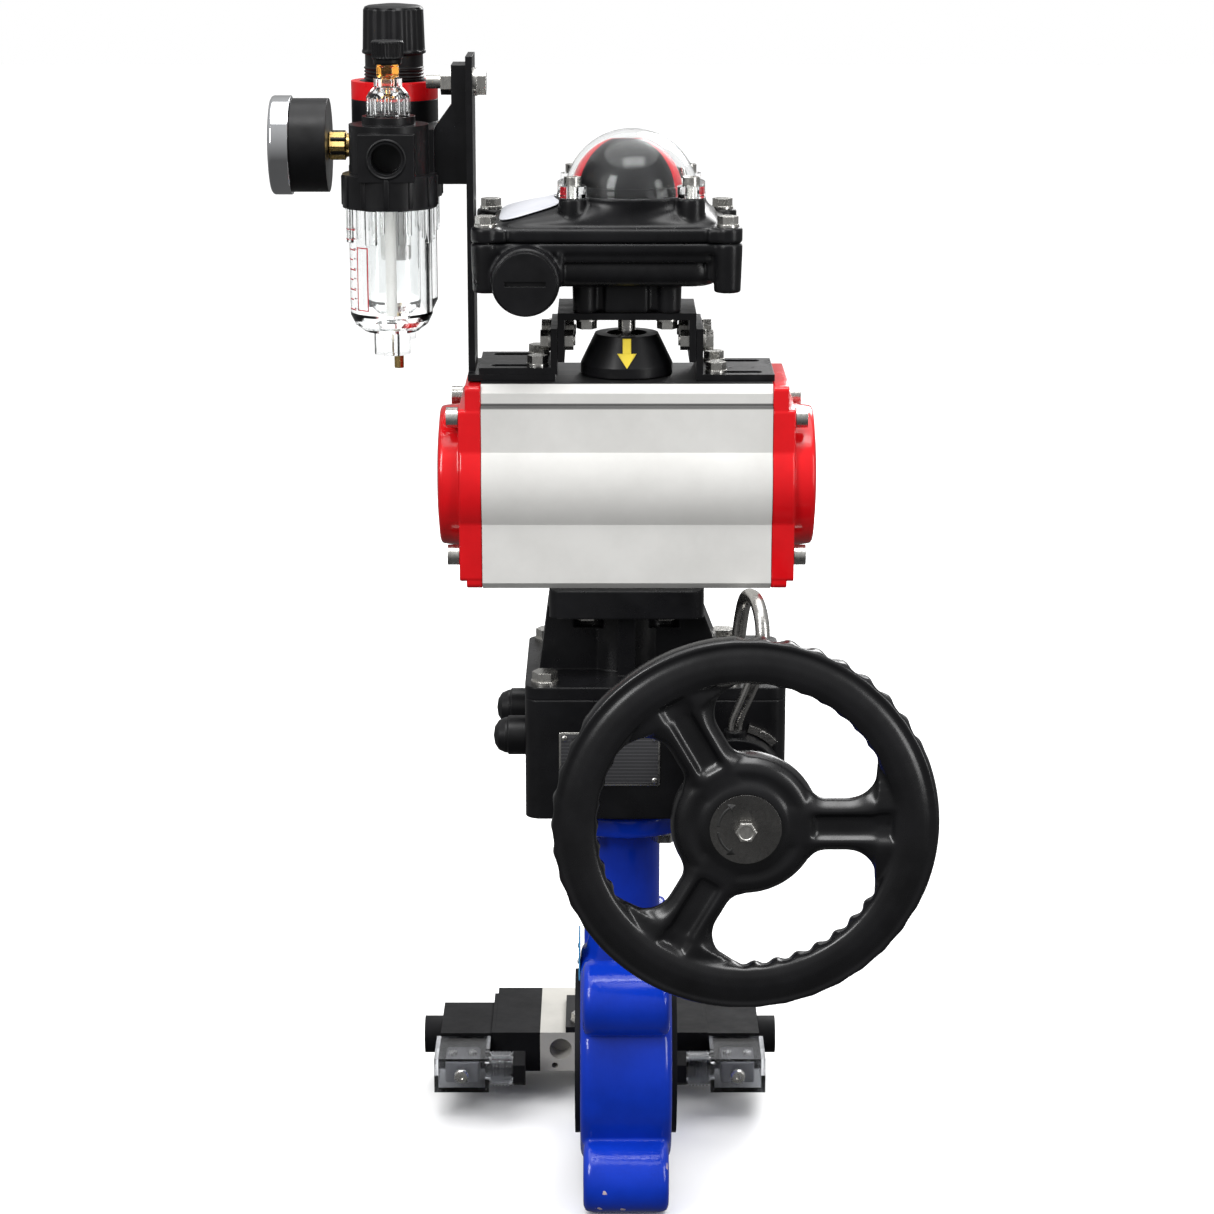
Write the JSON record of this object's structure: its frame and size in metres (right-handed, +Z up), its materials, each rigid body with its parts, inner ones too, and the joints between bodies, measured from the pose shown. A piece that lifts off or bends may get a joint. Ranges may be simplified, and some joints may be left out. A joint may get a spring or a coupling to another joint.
{
  "type": "pneumatic actuated valve",
  "caption": "Lug butterfly valve with rack-and-pinion air actuator, declutchable gear and handwheel, limit switch box, air preparation unit and solenoid valve.",
  "frame": {"origin": "centre of the valve bore on the stem axis, midway between the two pipe faces", "axes": "+X along the pipe, +Z up along the stem towards the switch box, +Y away from the handwheel"},
  "size_m": [0.2961, 0.2655, 0.5547],
  "materials": {
    "blue_paint": "gloss paint",
    "rubber": "matt",
    "stainless": "satin",
    "bright_screws": "bright",
    "bronze": "machined",
    "black_paint": "satin powder coat",
    "black_casting": "gloss powder coat",
    "black_plastic": "moulded",
    "anodised": "hard anodised",
    "red_paint": "gloss powder coat",
    "red_plastic": "moulded",
    "clear": "clear plastic",
    "brass": "turned",
    "chrome": "polished",
    "white_metal": "silver anodised",
    "drum": "moulded",
    "pointer": "painted",
    "amber": "moulded"
  },
  "bodies": {
    "valve_frame": {"valve_body": "blue_paint", "seat_liner": "rubber", "shaft_bushes": "bronze", "flange_bolts": "bright_screws", "gearbox_housing": "black_casting", "gearbox_cover": "black_casting", "cover_bolts": "bright_screws", "pedestal_screws": "bright_screws", "stop_screws": "black_plastic", "clutch_latch": "stainless", "actuator_body": "anodised", "end_caps": "red_paint", "end_cap_screws": "bright_screws", "bracket_feet": "black_paint", "bracket_bridge": "black_paint", "bracket_bolts": "bright_screws", "switch_box_base": "black_paint", "switch_box_lid": "black_paint", "lid_bolts": "bright_screws", "indicator_dome": "clear", "dome_screws": "bright_screws", "limit_switches": "black_plastic", "conduit_plug": "black_plastic", "frl_arm": "black_paint", "frl_mount": "black_paint", "regulator_body": "black_plastic", "lubricator_body": "black_plastic", "lock_ring": "red_plastic", "filter_bowl": "clear", "lubricator_bowl": "clear", "sight_dome": "clear", "gauge_case": "black_plastic", "gauge_bezel": "chrome", "solenoid_bracket": "black_paint", "solenoid_block": "white_metal", "solenoid_ends": "black_plastic", "din_connectors": "clear", "connector_glands": "black_plastic"},
    "stem_train": {"valve_disc": "stainless", "valve_stem": "stainless", "worm_wheel": "bronze", "drive_shaft": "stainless", "pinion": "stainless", "position_beacon": "black_plastic", "indicator_drum": "drum", "switch_shaft": "stainless"},
    "piston_left": {"piston_left": "white_metal"},
    "piston_right": {"piston_right": "white_metal"},
    "clutch": {"eccentric_sleeve": "black_casting", "clutch_lever": "stainless"},
    "hand_drive": {"worm_shaft": "stainless", "handwheel": "black_casting", "hub_plate": "stainless", "hub_bolt": "bright_screws"},
    "regulator_screw": {"adjusting_screw": "brass"},
    "regulator_knob": {"regulator_knob": "black_plastic"},
    "oil_needle": {"lubricator_knob": "amber"},
    "gauge_pointer": {"gauge_needle": "pointer"},
    "drain": {"drain_cock": "brass"},
    "spool": {"spool": "white_metal"}
  },
  "joints": [
    {"name": "stem_turn", "type": "hinge", "parent": "valve_frame", "child": "stem_train", "pos_m": [0, 0, 0], "axis": [0, 0, 1], "range_deg": [0, 90]},
    {"name": "piston_right_slide", "type": "slide", "parent": "valve_frame", "child": "piston_right", "axis": [1, 0, 0], "range_m": [0, 0.0178]},
    {"name": "piston_left_slide", "type": "slide", "parent": "valve_frame", "child": "piston_left", "axis": [-1, 0, 0], "range_m": [0, 0.0178]},
    {"name": "clutch_throw", "type": "hinge", "parent": "valve_frame", "child": "clutch", "pos_m": [0.04855, 0, 0.15205], "axis": [0, 1, 0], "range_deg": [0, 90]},
    {"name": "handwheel_turn", "type": "hinge", "parent": "clutch", "child": "hand_drive", "pos_m": [0.05109, 0, 0.1495], "axis": [0, 1, 0], "continuous": true},
    {"name": "regulator_screw_turn", "type": "hinge", "parent": "valve_frame", "child": "regulator_screw", "pos_m": [-0.1045, 0.021, 0.43], "axis": [0, 0, 1], "range_deg": [-720, 720]},
    {"name": "regulator_knob_lift", "type": "slide", "parent": "regulator_screw", "child": "regulator_knob", "axis": [0, 0, 1], "range_m": [0, 0.003]},
    {"name": "oil_needle_turn", "type": "hinge", "parent": "valve_frame", "child": "oil_needle", "pos_m": [-0.1045, -0.021, 0.43], "axis": [0, 0, 1], "range_deg": [-360, 360]},
    {"name": "gauge_pointer_turn", "type": "hinge", "parent": "valve_frame", "child": "gauge_pointer", "pos_m": [-0.15, 0.021, 0.43], "axis": [1, 0, 0], "range_deg": [0, 270]},
    {"name": "drain_turn", "type": "hinge", "parent": "valve_frame", "child": "drain", "pos_m": [-0.1045, 0.021, 0.34], "axis": [0, 0, 1], "range_deg": [0, 90]},
    {"name": "spool_shift", "type": "slide", "parent": "valve_frame", "child": "spool", "axis": [1, 0, 0], "range_m": [-0.0025, 0.0025]}
  ],
  "couplings": [
    {"joint": "piston_right_slide", "follows": "stem_turn", "m_per_rad": 0.01125},
    {"joint": "piston_left_slide", "follows": "stem_turn", "m_per_rad": 0.01125}
  ]
}
